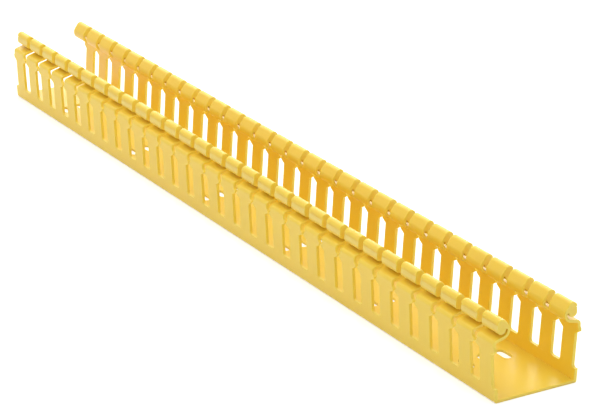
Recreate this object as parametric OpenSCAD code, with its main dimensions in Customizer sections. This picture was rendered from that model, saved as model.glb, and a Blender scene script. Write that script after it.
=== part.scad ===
// Open slotted duct for fibre optic patch leads: one extruded channel with punched walls.
// Millimetres. +X runs along the duct, the mouth faces +Z, the bottom face lies on Z = 0.

/* [Channel] */
// fingers along each wall, five to each row of base holes
fingers = 30; // [10:5:100]
// distance from one wall slot to the next
pitch = 20; // [18:1:30]
// width of the saw cut through the middle of a slot, half of it lost at each end
saw_cut = 2.6; // [0:0.2:4]
// width across the bottom face
base_w = 55.2; // [48:0.2:90]
// height from the bottom face to the top of the curls
duct_h = 48.6; // [44:0.2:80]
// thickness of the base
base_t = 1.7; // [1.4:0.1:2.4]
// thickness of the walls
wall_t = 2; // [1.6:0.1:2.6]
// outward lean of each wall in degrees
splay = 3.3; // [0:0.1:5]
// outer radius between a wall and the base
corner_r = 1.4; // [0.6:0.1:1.5]

/* [Curl] */
// width of the curl across the duct
curl_w = 8.4; // [7.6:0.1:10]
// thickness of the shoulder and of the leg that rises from it
strip_t = 1.8; // [1.4:0.1:2]
// step from the outer face of the wall in to the face of the lip
lip_inset = 3.1; // [2.4:0.1:5]
// height between the centres of the lower and the upper bend of the curl
leg_h = 4; // [3:0.1:5]
// clear gap between the lower edge of the lip and the root of the shoulder
lip_gap = 1.3; // [0.7:0.1:1.5]
// width of the groove between the lip and the leg
groove_w = 1; // [0.6:0.1:1.2]
// radius of the fine line along the face of the lip
line_r = 0.35; // [0.2:0.05:0.5]
// outer radius of the lower bend, from the shoulder into the leg
root_r = 5; // [4.5:0.1:5.6]
// outer radius of the upper bend, from the leg over to the lip
crown_r = 3; // [2.6:0.1:3.6]
// rise of the shoulder towards the leg in degrees
rise = 15; // [8:0.5:20]
// outer radius of the bend at the top of the wall
bend_r = 2.5; // [2.4:0.1:4]

/* [Wall slots] */
// width of a slot between two fingers
slot_w = 8.8; // [6:0.2:10]
// height of the lower edge of a slot above the bottom face
slot_z = 8.5; // [5:0.1:12]
// radius in the lower corners of a slot
slot_r = 1.5; // [0.5:0.1:2]
// height of the wide head of a finger, up to the root of the curl
head_h = 9.9; // [9.6:0.1:12]
// height of the sloping edge below the head
slope_h = 2.1; // [1.5:0.1:3]
// narrow gap between two heads
neck_w = 1.4; // [1:0.1:3]
// height of the narrow gap
neck_h = 1.2; // [0.8:0.1:1.8]
// round-bottomed gap between two curls
mouth_w = 4.9; // [4:0.1:6]

/* [Base holes] */
// length of a base hole along the duct
hole_l = 13; // [10:0.5:16]
// width of a base hole
hole_w = 5.7; // [4:0.1:7]
// distance between the three rows of base holes
row_gap = 12.7; // [10:0.1:15]

/* [Hidden] */
$fn = 48;
duct_l = fingers * pitch - saw_cut;
fingers_per_row = 5;
rows = 3;
past = 5;
half_w = base_w / 2;
crown_z = duct_h - crown_r;
root_z = crown_z - leg_h;
trough_r = root_r - strip_t;
shoulder_z = root_z - trough_r;
top_y = half_w + (shoulder_z - corner_r) * tan(splay);
lip_y = top_y - lip_inset;
crown_y = lip_y - crown_r;
root_y = lip_y - curl_w + root_r;
lip_r = (curl_w - strip_t - groove_w) / 2;
lip_z = shoulder_z + lip_gap + lip_r;
// direction square to the straight side of the curl, which touches both of its bends
side_turn = atan2(leg_h, crown_y - root_y) + acos((root_r - crown_r) / norm([crown_y - root_y, leg_h]));
// flat faces stop this far short of the rounds that they run into, so that the two cross cleanly
ease = 0.005;
lap = 0.1;
// the bend at the top of the wall lies this far along the shoulder and the wall
turn = 90 - rise + splay;
bend_v = ease - trough_r - bend_r;
wall_side = (half_w - root_y) * cos(splay) + (root_z - corner_r) * sin(splay);
bend_u = (wall_side - bend_r + ease - bend_v * sin(rise - splay)) / cos(rise - splay);
bend_y = root_y + bend_u * cos(rise) + bend_v * sin(rise);
bend_z = root_z - bend_u * sin(rise) + bend_v * cos(rise);
corner_l = bend_r * tan(turn / 2);
shoulder_l = bend_u + corner_l;
wall_l = (bend_y - half_w) * sin(splay) + (bend_z - corner_r) * cos(splay) + corner_l;
head_z = shoulder_z - head_h;
neck_z = head_z + slope_h;
mouth_r = mouth_w / 2;
mouth_z = neck_z + neck_h + sqrt(pow(mouth_r, 2) - pow(neck_w / 2, 2));
cut_w = 2 * (top_y + past);

// wedge about the origin, between two angles less than half a turn apart
module wedge(reach, from, to)
{
  polygon([[0, 0], for (a = [from, (from + to) / 2, to]) [reach * cos(a), reach * sin(a)]]);
}

// shoulder and leg on the +Y side, one strip bent about the root
module root_section()
{
  spare = 5;
  translate([root_y, root_z])
    difference()
    {
      union()
      {
        intersection()
        {
          circle(r = root_r);
          wedge(2 * root_r, side_turn - spare, 270 - rise + spare);
        }
        rotate(-rise)
          translate([-lap, ease - root_r])
            square([shoulder_l + lap, root_r]);
      }
      circle(r = trough_r);
      rotate(-rise)
        translate([-lap, ease - trough_r])
          square([shoulder_l + past, root_r + past]);
    }
}

// leaning wall, rounded where it turns into the shoulder, on the +Y side
module wall_section()
{
  translate([half_w - corner_r, corner_r])
    intersection()
    {
      circle(r = corner_r);
      translate([-lap, -corner_r])
        square(corner_r + lap);
    }
  difference()
  {
    union()
    {
      root_section();
      translate([half_w, corner_r])
        rotate(-splay)
          translate([-wall_t, -lap])
            square([wall_t, wall_l + lap]);
    }
    translate([bend_y, bend_z])
      difference()
      {
        wedge(3 * bend_r, -splay, 90 - rise);
        circle(r = bend_r);
      }
  }
}

// point on a round of radius r about [y, z]
function on_round(y, z, r, angle) = [y + r * cos(angle), z + r * sin(angle)];

// crown and thick lip on the +Y side
module curl_section()
{
  difference()
  {
    union()
    {
      translate([crown_y, crown_z])
        circle(r = crown_r);
      polygon([
        [root_y, root_z],
        [crown_y, crown_z],
        on_round(crown_y, crown_z, crown_r - ease, side_turn),
        on_round(root_y, root_z, root_r - ease, side_turn)
      ]);
      intersection()
      {
        translate([root_y, root_z])
          circle(r = root_r - ease);
        translate([root_y - root_r, lip_z])
          square([root_r + lap, root_r]);
      }
      translate([root_y, lip_z - lap])
        square([lip_y - root_y - ease, crown_z - lip_z + lap]);
      translate([lip_y - lip_r, lip_z])
        circle(r = lip_r);
    }
    translate([lip_y, crown_z])
      circle(r = line_r);
  }
}

// outline of one slot, seen across the duct
module slot_outline()
{
  for (side = [-1, 1])
    translate([side * (slot_w / 2 - slot_r), slot_z + slot_r])
      circle(r = slot_r);
  translate([slot_r - slot_w / 2, slot_z])
    square([slot_w - 2 * slot_r, slot_r]);
  translate([-slot_w / 2, slot_z + slot_r])
    square([slot_w, head_z - slot_z - slot_r]);
  polygon([[-slot_w / 2, head_z], [slot_w / 2, head_z], [neck_w / 2, neck_z], [-neck_w / 2, neck_z]]);
  translate([-neck_w / 2, neck_z])
    square([neck_w, mouth_z - neck_z]);
  translate([0, mouth_z])
    circle(r = mouth_r);
  translate([-mouth_r, mouth_z])
    square([mouth_w, duct_h - mouth_z + past]);
}

// outline of one base hole, rounded at both ends
module hole_outline()
{
  square([hole_l - hole_w, hole_w], center = true);
  for (side = [-1, 1])
    translate([side * (hole_l - hole_w) / 2, 0])
      circle(r = hole_w / 2);
}

// the whole duct, sawn through a slot at both ends
module duct_channel()
{
  color([0.93, 0.74, 0.25])
    difference()
    {
      rotate([90, 0, 90])
        linear_extrude(height = duct_l, center = true)
        {
          translate([corner_r - half_w, 0])
            square([base_w - 2 * corner_r, base_t]);
          for (side = [0, 1])
            mirror([side, 0])
            {
              wall_section();
              curl_section();
            }
        }
      for (i = [0 : fingers])
        translate([(i - fingers / 2) * pitch, 0, 0])
          rotate([90, 0, 0])
            linear_extrude(height = cut_w, center = true)
              slot_outline();
      for (i = [0 : fingers / fingers_per_row - 1])
        for (row = [0 : rows - 1])
          translate([((i + 0.5) * fingers_per_row - fingers / 2) * pitch, (row - (rows - 1) / 2) * row_gap, -past])
            linear_extrude(height = base_t + 2 * past)
              hole_outline();
    }
}

duct_channel();
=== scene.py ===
from math import acos, asin, atan2, cos, hypot, radians, sin, sqrt, tan

import bmesh
import bpy
from mathutils import Matrix, Vector


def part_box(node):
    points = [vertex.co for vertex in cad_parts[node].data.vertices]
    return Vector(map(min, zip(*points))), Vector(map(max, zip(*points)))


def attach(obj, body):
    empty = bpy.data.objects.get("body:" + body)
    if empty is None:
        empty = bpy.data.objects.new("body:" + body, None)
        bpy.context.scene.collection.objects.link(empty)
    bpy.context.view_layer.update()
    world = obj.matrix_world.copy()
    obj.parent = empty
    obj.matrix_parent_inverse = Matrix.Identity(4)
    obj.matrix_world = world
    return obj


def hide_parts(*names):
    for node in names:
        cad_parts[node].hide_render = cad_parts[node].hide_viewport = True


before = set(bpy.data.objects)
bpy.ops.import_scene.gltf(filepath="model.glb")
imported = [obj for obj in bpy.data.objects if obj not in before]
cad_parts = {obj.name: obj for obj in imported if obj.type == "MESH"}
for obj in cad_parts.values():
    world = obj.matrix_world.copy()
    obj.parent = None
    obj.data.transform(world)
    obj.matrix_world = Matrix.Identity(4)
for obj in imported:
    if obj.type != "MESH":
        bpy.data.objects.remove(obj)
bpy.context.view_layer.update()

# Duct channel: one length of slotted duct in rigid PVC, extruded as a channel with a curled lip on both
# walls, then punched and sawn to length. One finger of it is made as a mesh from the section, and Geometry
# Nodes set the fingers side by side along the duct.
duct_lo, duct_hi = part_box("duct_channel")
duct_l = duct_hi.x - duct_lo.x
duct_h = duct_hi.z - duct_lo.z
pitch = 0.020
half_pitch = pitch / 2
fingers = round(duct_l / pitch)

# the flat base and the two walls, which lean outwards
base_w = 0.0552
base_t = 0.0017
wall_t = 0.002
splay = radians(3.3)
corner_r = 0.0014
half_w = base_w / 2
quarter = radians(90)
arc_step = radians(10)


def arc(centre, r, start, end):
    """Points of a round from one angle to another, in the plane of the section."""
    steps = max(2, round(abs(end - start) / arc_step))
    turns = [start + (end - start) * i / steps for i in range(steps + 1)]
    return [(centre[0] + r * cos(a), centre[1] + r * sin(a)) for a in turns]


def outer_y(z):
    """Outer face of the leaning wall at a height."""
    return half_w + (z - corner_r) * tan(splay)


def inner_y(z):
    """Inner face of the leaning wall at a height."""
    return outer_y(z) - wall_t / cos(splay)


outer_foot = arc((half_w - corner_r, corner_r), corner_r, -quarter, 0)
inner_foot = (inner_y(base_t), base_t)

# the curl on each wall: a shoulder, a leg that rises from it, and a crown that turns over to a thick lip
curl_w = 0.0084
strip_t = 0.0018
lip_inset = 0.0031
leg_h = 0.004
lip_gap = 0.0013
groove_w = 0.001
line_r = 0.00035
face_lean = radians(12)
root_r = 0.005
crown_r = 0.003
rise = radians(15)
bend_r = 0.0025
crown_z = duct_h - crown_r
root_z = crown_z - leg_h
trough_r = root_r - strip_t
shoulder_z = root_z - trough_r
lip_y = outer_y(shoulder_z) - lip_inset
crown_y = lip_y - crown_r
root_y = lip_y - curl_w + root_r
lip_r = (curl_w - strip_t - groove_w) / 2
lip_z = shoulder_z + lip_gap + lip_r
face_r = (crown_z - line_r - lip_z) / sin(face_lean)
# lengths that differ by less than this are taken as equal
margin = 1e-6


def curl_outline():
    """Section above the slot's mouth, from the outer face of the wall round the curl to the inner face."""
    shoulder = Vector((cos(rise), -sin(rise)))
    upright = Vector((sin(rise), cos(rise)))
    wall = Vector((sin(splay), cos(splay)))
    root = Vector((root_y, root_z))
    # the bend lies bend_r inside both the wall and the shoulder
    foot = Vector((half_w, corner_r)) - bend_r * Vector((cos(splay), -sin(splay)))
    top = root - (trough_r + bend_r) * upright
    run = (foot - top).cross(wall) / shoulder.cross(wall)
    bend = top + run * shoulder
    # the underside of the shoulder meets the inner face of the wall at a corner
    under = root - root_r * upright
    reach = (Vector((inner_y(0), 0)) - under).cross(wall) / shoulder.cross(wall)
    corner = under + reach * shoulder
    # the back of the leg is straight and touches the rounds of the root and of the crown
    span = hypot(crown_y - root_y, leg_h)
    side_turn = atan2(leg_h, crown_y - root_y) + acos((root_r - crown_r) / span)
    groove_turn = 2 * quarter - asin((lip_z - root_z) / trough_r)
    groove_y = root_y - sqrt(trough_r ** 2 - (lip_z - root_z) ** 2)
    points = arc(bend, bend_r, -splay, quarter - rise)
    points += arc(root, trough_r, 3 * quarter - rise, groove_turn)[:-1]
    points += [(groove_y, lip_z)]
    points += arc((lip_y - lip_r, lip_z), lip_r, 2 * quarter, 4 * quarter)
    # the fine line is a notch between the face of the lip and the crown
    points += arc((lip_y - face_r, lip_z), face_r, 0, face_lean)[1:]
    points += [(points[-1][0] - line_r, crown_z)]
    points += arc((crown_y, crown_z), crown_r, asin(line_r / crown_r), side_turn)
    points += arc(root, root_r, side_turn, 3 * quarter - rise)
    return points + [tuple(corner)]


def on_lip_face(point):
    """Whether a point of the section lies on the lip's outer face, below the fine line."""
    y, z = point
    return y > crown_y and lip_z - margin < z < crown_z - line_r + margin


# the wall slots: a foot with rounded corners, a sloping top, a narrow neck and a round-bottomed mouth
slot_w = 0.0088
slot_z = 0.0085
slot_r = 0.0015
head_h = 0.0099
slope_h = 0.0021
neck_w = 0.0014
neck_h = 0.0012
mouth_w = 0.0049
head_z = shoulder_z - head_h
neck_z = head_z + slope_h
mouth_r = mouth_w / 2
mouth_z = neck_z + neck_h + sqrt(mouth_r ** 2 - (neck_w / 2) ** 2)


def slot_half(z):
    """Half the width of the punched slot at a height."""
    if z < slot_z + slot_r:
        return slot_w / 2 - slot_r + sqrt(max(0, slot_r ** 2 - (slot_z + slot_r - z) ** 2))
    if z <= head_z:
        return slot_w / 2
    if z <= neck_z:
        return slot_w / 2 + (neck_w - slot_w) / 2 * (z - head_z) / slope_h
    if z < mouth_z:
        return max(neck_w / 2, sqrt(max(0, mouth_r ** 2 - (mouth_z - z) ** 2)))
    return mouth_r


def finger_half(z):
    """Half the width of a finger at a height."""
    return half_pitch - slot_half(z)


def wall_levels():
    """Heights at which the edge of the slot turns, with steps along its rounds."""
    foot = [z for _, z in arc((0, slot_z + slot_r), slot_r, -quarter, 0)]
    neck_turn = -acos(neck_w / 2 / mouth_r)
    mouth = [z for _, z in arc((0, mouth_z), mouth_r, neck_turn, 0)]
    return foot + [head_z, neck_z] + mouth


levels = wall_levels()
curl = curl_outline()
outer_wall = [(outer_y(z), z) for z in levels]
inner_wall = [(inner_y(z), z) for z in levels]
outline = outer_wall + curl + inner_wall[::-1]

# the base holes: rounded at both ends, three side by side below the middle finger of every five
fingers_per_hole_row = 5
hole_rows = 3
row_gap = 0.0127
hole_l = 0.013
hole_w = 0.0057
hole_steps = 8
# corners are told apart by this many decimals of a metre
corner_digits = 7


def hole_ring(row_y):
    """Corners of a base hole and of the patch of base around it, matched by direction from its centre."""
    patch_l = half_pitch
    patch_w = row_gap / 2
    straight = (hole_l - hole_w) / 2
    r = hole_w / 2
    half_turn = 2 * quarter
    diagonal = atan2(patch_w, patch_l)
    turns = []
    for start, end in ((-diagonal, diagonal), (diagonal, half_turn - diagonal)):
        for opposite in (0, half_turn):
            turns += [opposite + start + (end - start) * i / hole_steps for i in range(hole_steps)]
    ring = []
    for turn in sorted(turns):
        c = cos(turn)
        s = sin(turn)
        reach = min(patch_l / max(abs(c), margin), patch_w / max(abs(s), margin))
        if abs(s) > margin and abs(r * c / s) <= straight:
            rim = r / abs(s)
        else:
            rim = straight * abs(c) + sqrt(r ** 2 - (straight * s) ** 2)
        ring.append(((rim * c, row_y + rim * s), (reach * c, row_y + reach * s)))
    return ring


rows_y = [(i - (hole_rows - 1) / 2) * row_gap for i in range(hole_rows)]
rings = [hole_ring(y) for y in rows_y]
patch_y = row_gap * hole_rows / 2
# corners of the patches on the border to the next finger, and on the border along a wall
patch_corners = [corner for ring in rings for _, corner in ring]
border_y = sorted({round(y, corner_digits) for x, y in patch_corners if x > half_pitch - margin})
border_x = sorted({round(x, corner_digits) for x, y in patch_corners if y > patch_y - margin})


class Shell:
    """Gathers flat faces by their corners, each with the direction that it faces."""

    def __init__(self, name):
        self.mesh = bpy.data.meshes.new(name)
        self.bm = bmesh.new()
        self.punched = self.bm.faces.layers.float.new("punched")
        # the lip_face mask marks the faces that the material paints paler as painted light
        self.lip = self.bm.faces.layers.float.new("lip_face")
        self.corners = {}

    def corner(self, point):
        key = tuple(round(c, corner_digits) for c in point)
        if key not in self.corners:
            self.corners[key] = self.bm.verts.new(point)
        return self.corners[key]

    def face(self, points, out, punched=0.0, lip=0.0):
        made = self.bm.faces.new([self.corner(p) for p in points])
        made.normal_update()
        if made.normal.dot(Vector(out)) < 0:
            made.normal_flip()
        made[self.punched] = punched
        made[self.lip] = lip
        made.smooth = True

    def finish(self):
        self.bm.to_mesh(self.mesh)
        self.bm.free()
        return bpy.data.objects.new(self.mesh.name, self.mesh)


def add_strip(shell, side, p, q, p_half, q_half, lip=0.0):
    """One flat strip along the duct, between two points of the section."""
    corners = ((-p_half, p), (p_half, p), (q_half, q), (-q_half, q))
    out = (0, side * (q[1] - p[1]), p[0] - q[0])
    shell.face([(x, side * y, z) for x, (y, z) in corners], out, lip=lip)


def add_wall(shell, side):
    """One finger of a wall with its curl and its punched edges, and the wall below the slots."""
    for p, q in zip(outline, outline[1:]):
        # faces on the lip's outer face get the painted light of a paler colour
        lip = float(on_lip_face(p) and on_lip_face(q))
        add_strip(shell, side, p, q, finger_half(p[1]), finger_half(q[1]), lip)
    rungs = list(zip(outer_wall, inner_wall))
    edges = [(a, c, d, b) for (a, b), (c, d) in zip(rungs, rungs[1:])]
    edges.append((outer_wall[-1], *curl, inner_wall[-1]))
    foot_x = finger_half(slot_z)
    sill = (
        (foot_x, outer_wall[0]),
        (half_pitch, outer_wall[0]),
        (half_pitch, inner_wall[0]),
        (foot_x, inner_wall[0]),
    )
    for end in (1, -1):
        for edge in edges:
            shell.face([(end * finger_half(z), side * y, z) for y, z in edge], (end, 0, 0), punched=1.0)
        shell.face([(end * x, side * y, z) for x, (y, z) in sill], (0, 0, 1), punched=1.0)
    for p, q in zip(outer_foot, outer_foot[1:]):
        add_strip(shell, side, p, q, half_pitch, half_pitch)
    top_x = (half_pitch, foot_x, -foot_x, -half_pitch)
    for low, high, out in ((outer_foot[-1], outer_wall[0], side), (inner_foot, inner_wall[0], -side)):
        strip = [(x, side * low[0], low[1]) for x in (-half_pitch, half_pitch)]
        strip += [(x, side * high[0], high[1]) for x in top_x]
        shell.face(strip, (0, out, 0))


def add_base(shell, holed):
    """The base below one finger, whole or with a hole in each row."""
    for z, edge_y, out in ((base_t, inner_foot[0], 1), (0, half_w - corner_r, -1)):
        if holed:
            for ring in rings:
                for (rim_a, far_a), (rim_b, far_b) in zip(ring, ring[1:] + ring[:1]):
                    shell.face([(*p, z) for p in (rim_a, far_a, far_b, rim_b)], (0, 0, out))
            for side in (1, -1):
                border = [(x, side * patch_y) for x in border_x]
                border += [(half_pitch, side * edge_y), (-half_pitch, side * edge_y)]
                shell.face([(*p, z) for p in border], (0, 0, out))
        else:
            border = [(half_pitch, y) for y in (-edge_y, *border_y, edge_y)]
            border += [(-x, -y) for x, y in border]
            shell.face([(*p, z) for p in border], (0, 0, out))
    if holed:
        for ring, row_y in zip(rings, rows_y):
            for (a, _), (b, _) in zip(ring, ring[1:] + ring[:1]):
                inwards = (-a[0] - b[0], 2 * row_y - a[1] - b[1], 0)
                shell.face([(*a, 0), (*b, 0), (*b, base_t), (*a, base_t)], inwards, punched=1.0)


def finger_shell(name, holed):
    """One finger of both walls with its share of the base, open at the two sides."""
    shell = Shell(name)
    for side in (1, -1):
        add_wall(shell, side)
    add_base(shell, holed)
    return shell.finish()


def end_shell(name):
    """Sawn end of the base and of the walls below the slots, on the +X side of a finger."""
    shell = Shell(name)
    right = outer_foot + [outer_wall[0], inner_wall[0], inner_foot]
    left = [(-y, z) for y, z in reversed(right)]
    over = [(y, base_t) for y in reversed(border_y)]
    under = [(y, 0) for y in border_y]
    shell.face([(half_pitch, y, z) for y, z in left + under + right + over], (1, 0, 0), punched=1.0)
    return shell.finish()


# yellow PVC: extruded faces with a soft gloss and faint draw lines, a paler face on the lip that is
# painted light, and duller, paler faces where the punch and the saw went through; thin walls let some
# light through
pvc_colour = (0.93, 0.625, 0.05, 1)
pvc_pale = (0.95, 0.68, 0.07, 1)
# painted light: the lip's outer face is coloured paler to stand in for the brighter light that it catches
lip_painted_light_colour = (0.92, 0.69, 0.13, 1)
cut_colour = (0.93, 0.69, 0.1, 1)
pvc_ior = 1.52
light_through = 0.4
scatter_depth = 0.004
scatter_by_colour = (1, 1, 0.25)
cloud_scale = 14
cloud_detail = 4
line_scale = (6, 700, 700)
line_detail = 3
line_depth = 0.0002
line_strength = 0.12
smooth_roughness = 0.32
drawn_roughness = 0.43
cut_roughness = 0.45


def pvc_material():
    material = bpy.data.materials.new("yellow_pvc")
    material.use_nodes = True
    nodes = material.node_tree.nodes
    links = material.node_tree.links
    bsdf = nodes["Principled BSDF"]
    bsdf.inputs["IOR"].default_value = pvc_ior
    bsdf.inputs["Subsurface Weight"].default_value = light_through
    bsdf.inputs["Subsurface Radius"].default_value = scatter_by_colour
    bsdf.inputs["Subsurface Scale"].default_value = scatter_depth
    place = nodes.new("ShaderNodeTexCoord")

    def face_mask(name):
        """Mask that the mesh carries on its faces."""
        node = nodes.new("ShaderNodeAttribute")
        node.attribute_name = name
        return node.outputs["Fac"]

    def lay_over(under, colour, mask):
        """A colour laid over the colours below it where a mask is set."""
        mix = nodes.new("ShaderNodeMix")
        mix.data_type = "RGBA"
        mix.inputs["B"].default_value = colour
        links.new(under, mix.inputs["A"])
        links.new(mask, mix.inputs["Factor"])
        return mix.outputs["Result"]

    stretch = nodes.new("ShaderNodeMapping")
    stretch.inputs["Scale"].default_value = line_scale
    links.new(place.outputs["Object"], stretch.inputs["Vector"])
    draw = nodes.new("ShaderNodeTexNoise")
    draw.inputs["Scale"].default_value = 1
    draw.inputs["Detail"].default_value = line_detail
    links.new(stretch.outputs["Vector"], draw.inputs["Vector"])

    cloud = nodes.new("ShaderNodeTexNoise")
    cloud.inputs["Scale"].default_value = cloud_scale
    cloud.inputs["Detail"].default_value = cloud_detail
    links.new(place.outputs["Object"], cloud.inputs["Vector"])
    tint = nodes.new("ShaderNodeMix")
    tint.data_type = "RGBA"
    tint.inputs["A"].default_value = pvc_colour
    tint.inputs["B"].default_value = pvc_pale
    links.new(cloud.outputs["Fac"], tint.inputs["Factor"])
    punched = face_mask("punched")
    # painted light: the paler lip colour goes over the faces on the lip's outer face
    with_painted_lip_light = lay_over(tint.outputs["Result"], lip_painted_light_colour, face_mask("lip_face"))
    links.new(lay_over(with_painted_lip_light, cut_colour, punched), bsdf.inputs["Base Color"])

    gloss = nodes.new("ShaderNodeMapRange")
    gloss.inputs["To Min"].default_value = smooth_roughness
    gloss.inputs["To Max"].default_value = drawn_roughness
    links.new(draw.outputs["Fac"], gloss.inputs["Value"])
    dull = nodes.new("ShaderNodeMix")
    dull.inputs["B"].default_value = cut_roughness
    links.new(punched, dull.inputs["Factor"])
    links.new(gloss.outputs["Result"], dull.inputs["A"])
    links.new(dull.outputs["Result"], bsdf.inputs["Roughness"])

    bump = nodes.new("ShaderNodeBump")
    bump.inputs["Strength"].default_value = line_strength
    bump.inputs["Distance"].default_value = line_depth
    links.new(draw.outputs["Fac"], bump.inputs["Height"])
    links.new(bump.outputs["Normal"], bsdf.inputs["Normal"])
    return material


def finger_row_tree():
    """Sets the finger meshes side by side, the holed ones at every middle finger, and closes both ends."""
    tree = bpy.data.node_groups.new("finger_row", "GeometryNodeTree")
    tree.is_modifier = True
    nodes = tree.nodes
    links = tree.links
    tree.interface.new_socket("Geometry", in_out="OUTPUT", socket_type="NodeSocketGeometry")
    for name, kind in (
        ("Fingers", "Int"),
        ("Pitch", "Float"),
        ("Sawn Length", "Float"),
        ("Fingers per Hole Row", "Int"),
        ("Weld Distance", "Float"),
        ("Plain Finger", "Object"),
        ("Holed Finger", "Object"),
        ("Cut End", "Object"),
        ("Material", "Material"),
    ):
        tree.interface.new_socket(name, in_out="INPUT", socket_type="NodeSocket" + kind)
    given = nodes.new("NodeGroupInput").outputs

    def math(operation, a, b):
        node = nodes.new("ShaderNodeMath")
        node.operation = operation
        for socket, value in zip(node.inputs, (a, b)):
            if isinstance(value, (int, float)):
                socket.default_value = value
            else:
                links.new(value, socket)
        return node.outputs[0]

    # one point for each finger, with the middle of the row at the origin
    last = math("SUBTRACT", given["Fingers"], 1)
    start = nodes.new("ShaderNodeCombineXYZ")
    links.new(math("MULTIPLY", math("MULTIPLY", last, given["Pitch"]), -0.5), start.inputs["X"])
    step = nodes.new("ShaderNodeCombineXYZ")
    links.new(given["Pitch"], step.inputs["X"])
    line = nodes.new("GeometryNodeMeshLine")
    links.new(given["Fingers"], line.inputs["Count"])
    links.new(start.outputs[0], line.inputs["Start Location"])
    links.new(step.outputs[0], line.inputs["Offset"])

    # a finger at every point, and a sawn end at the first and the last
    index = nodes.new("GeometryNodeInputIndex").outputs[0]
    count = given["Fingers per Hole Row"]
    middle = math("FLOOR", math("DIVIDE", count, 2), 0)
    holed = math("COMPARE", math("MODULO", index, count), middle)
    plain = math("SUBTRACT", 1, holed)
    first_end = math("COMPARE", index, 0)
    last_end = math("COMPARE", index, last)
    join = nodes.new("GeometryNodeJoinGeometry")
    for source, where, turn in (
        ("Plain Finger", plain, 0),
        ("Holed Finger", holed, 0),
        ("Cut End", last_end, 0),
        ("Cut End", first_end, 2 * quarter),
    ):
        info = nodes.new("GeometryNodeObjectInfo")
        links.new(given[source], info.inputs["Object"])
        copies = nodes.new("GeometryNodeInstanceOnPoints")
        copies.inputs["Rotation"].default_value = (0, 0, turn)
        links.new(line.outputs[0], copies.inputs["Points"])
        links.new(where, copies.inputs["Selection"])
        links.new(info.outputs["Geometry"], copies.inputs["Instance"])
        links.new(copies.outputs[0], join.inputs[0])

    # the saw takes a little off both ends of the row
    half = math("MULTIPLY", given["Sawn Length"], 0.5)
    place = nodes.new("ShaderNodeSeparateXYZ")
    links.new(nodes.new("GeometryNodeInputPosition").outputs[0], place.inputs[0])
    sawn = nodes.new("ShaderNodeCombineXYZ")
    sawn_right = math("MINIMUM", place.outputs["X"], half)
    links.new(math("MAXIMUM", sawn_right, math("MULTIPLY", half, -1)), sawn.inputs["X"])
    links.new(place.outputs["Y"], sawn.inputs["Y"])
    links.new(place.outputs["Z"], sawn.inputs["Z"])

    realize = nodes.new("GeometryNodeRealizeInstances")
    weld = nodes.new("GeometryNodeMergeByDistance")
    saw = nodes.new("GeometryNodeSetPosition")
    paint = nodes.new("GeometryNodeSetMaterial")
    result = nodes.new("NodeGroupOutput")
    links.new(join.outputs[0], realize.inputs[0])
    links.new(realize.outputs[0], weld.inputs[0])
    links.new(given["Weld Distance"], weld.inputs["Distance"])
    links.new(weld.outputs[0], saw.inputs["Geometry"])
    links.new(sawn.outputs[0], saw.inputs["Position"])
    links.new(saw.outputs[0], paint.inputs["Geometry"])
    links.new(given["Material"], paint.inputs["Material"])
    links.new(paint.outputs[0], result.inputs[0])
    return tree


weld_distance = 0.00001
edge_r = 0.0002
edge_steps = 2
edge_turn = radians(35)
patterns = {
    "Plain Finger": finger_shell("plain_finger", False),
    "Holed Finger": finger_shell("holed_finger", True),
    "Cut End": end_shell("cut_end"),
}
finger_row = bpy.data.objects.new("finger_row", bpy.data.meshes.new("finger_row"))
bpy.context.scene.collection.objects.link(finger_row)
repeat = finger_row.modifiers.new("finger_row", "NODES")
repeat.node_group = finger_row_tree()
settings = {
    "Fingers": fingers,
    "Pitch": pitch,
    "Sawn Length": duct_l,
    "Fingers per Hole Row": fingers_per_hole_row,
    "Weld Distance": weld_distance,
    "Material": pvc_material(),
    **patterns,
}
for socket in repeat.node_group.interface.items_tree:
    if socket.in_out == "INPUT":
        repeat[socket.identifier] = settings[socket.name]
soften = finger_row.modifiers.new("soft_edges", "BEVEL")
soften.width = edge_r
soften.segments = edge_steps
soften.limit_method = "ANGLE"
soften.angle_limit = edge_turn
soften.use_clamp_overlap = False
soften.harden_normals = True
finger_row.modifiers.new("even_shading", "WEIGHTED_NORMAL").keep_sharp = True

ready = finger_row.evaluated_get(bpy.context.evaluated_depsgraph_get())
duct_mesh = bpy.data.meshes.new_from_object(ready)
duct_mesh.name = "duct_body"
duct = bpy.data.objects.new("duct_body", duct_mesh)
bpy.context.scene.collection.objects.link(duct)
for made in (finger_row, *patterns.values()):
    bpy.data.objects.remove(made)
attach(duct, "root")
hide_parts("duct_channel")

# Floor: a plain white paper sweep that the duct lies on. It shows as white to the camera and in the gloss,
# and keeps the soft shadow under the duct.
floor_reach = 6
paper_colour = (0.88, 0.88, 0.88, 1)
paper_roughness = 0.9
paper_specular = 0.1
paper_glow = 0.4
white = (1, 1, 1, 1)


def seen_rays(tree):
    """Socket that is 1 for the rays that show a thing to the camera, in a gloss or through glass."""
    path = tree.nodes.new("ShaderNodeLightPath")
    seen = path.outputs["Is Camera Ray"]
    for ray in ("Is Glossy Ray", "Is Transmission Ray"):
        either = tree.nodes.new("ShaderNodeMath")
        either.operation = "MAXIMUM"
        tree.links.new(seen, either.inputs[0])
        tree.links.new(path.outputs[ray], either.inputs[1])
        seen = either.outputs[0]
    return seen


def paper_material():
    material = bpy.data.materials.new("white_sweep")
    material.use_nodes = True
    nodes = material.node_tree.nodes
    links = material.node_tree.links
    bsdf = nodes["Principled BSDF"]
    bsdf.inputs["Base Color"].default_value = paper_colour
    bsdf.inputs["Roughness"].default_value = paper_roughness
    bsdf.inputs["Specular IOR Level"].default_value = paper_specular
    bsdf.inputs["Emission Color"].default_value = white
    glow = nodes.new("ShaderNodeMath")
    glow.operation = "MULTIPLY"
    glow.inputs[1].default_value = paper_glow
    links.new(seen_rays(material.node_tree), glow.inputs[0])
    links.new(glow.outputs[0], bsdf.inputs["Emission Strength"])
    return material


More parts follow.
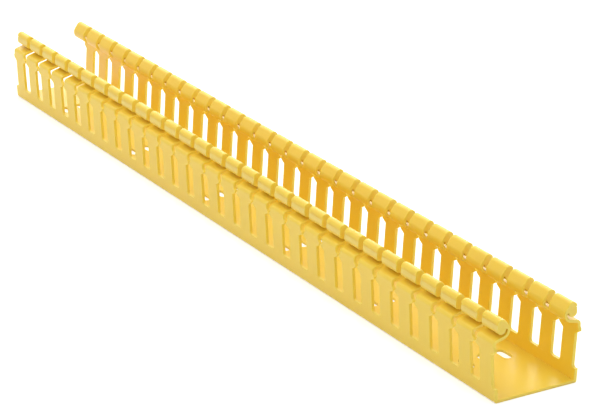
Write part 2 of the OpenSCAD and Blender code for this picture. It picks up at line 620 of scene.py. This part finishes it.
floor_mesh = bpy.data.meshes.new("floor")
floor_corners = [(x * floor_reach, y * floor_reach, 0) for x, y in ((-1, -1), (1, -1), (1, 1), (-1, 1))]
floor_mesh.from_pydata(floor_corners, [], [(0, 1, 2, 3)])
floor_mesh.materials.append(paper_material())
floor = bpy.data.objects.new("floor", floor_mesh)
bpy.context.scene.collection.objects.link(floor)

# Studio light: an even white room, which the camera and the gloss see as plain white, and four soft boxes:
# the lit backdrop past the far end, one overhead, one behind the far wall and a weak one at the near end.
room_light = 0.55
room_seen = 1.0
world = bpy.data.worlds.new("white_room")
bpy.context.scene.world = world
world.use_nodes = True
room = world.node_tree.nodes["Background"]
room.inputs["Color"].default_value = white
level = world.node_tree.nodes.new("ShaderNodeMapRange")
level.inputs["To Min"].default_value = room_light
level.inputs["To Max"].default_value = room_seen
world.node_tree.links.new(seen_rays(world.node_tree), level.inputs["Value"])
world.node_tree.links.new(level.outputs["Result"], room.inputs["Strength"])


def soft_box(name, place, size, watts):
    """A soft box that faces the duct."""
    data = bpy.data.lights.new(name, "AREA")
    data.shape = "RECTANGLE"
    data.size, data.size_y = size
    data.energy = watts
    lamp = bpy.data.objects.new(name, data)
    lamp.location = place
    lamp.rotation_euler = Vector(place).to_track_quat("Z", "Y").to_euler()
    bpy.context.scene.collection.objects.link(lamp)


soft_box("lit_backdrop", place=(-1.57, 0.73, 0.77), size=(1.9, 1.1), watts=9)
soft_box("overhead_box", place=(-0.1, -0.05, 1.4), size=(1.6, 1.0), watts=11)
soft_box("rear_box", place=(-0.5, 1.4, 0.8), size=(1.6, 1.0), watts=7)
soft_box("side_box", place=(1.4, 0.2, 0.8), size=(1.0, 1.0), watts=0.8)

# Camera: a long lens at the photograph's viewing angle. Turn, rise and roll set its axes, and its place is
# measured along them from the middle of the duct's bottom face.
view_turn = radians(58.541)
view_rise = radians(21.289)
view_roll = radians(0.501)
view_offset = (0.025733, 0.006725, 1.676671)
focal_pixels = 2626.8
image_w = 600
right = Vector((cos(view_turn), sin(view_turn), 0))
up = Vector((-sin(view_turn) * sin(view_rise), cos(view_turn) * sin(view_rise), cos(view_rise)))
back = right.cross(up)
rolled_right = right * cos(view_roll) + up * sin(view_roll)
rolled_up = back.cross(rolled_right)
axes = (rolled_right, rolled_up, back)
eye = sum((axis * offset for axis, offset in zip(axes, view_offset)), Vector())
camera_data = bpy.data.cameras.new("camera")
camera_data.sensor_width = 36
camera_data.lens = focal_pixels * camera_data.sensor_width / image_w
camera_data.clip_end = 50
camera = bpy.data.objects.new("camera", camera_data)
camera.matrix_world = Matrix.Translation(eye) @ Matrix(axes).transposed().to_4x4()
bpy.context.scene.collection.objects.link(camera)
bpy.context.scene.camera = camera

bpy.context.scene.view_settings.view_transform = "Standard"
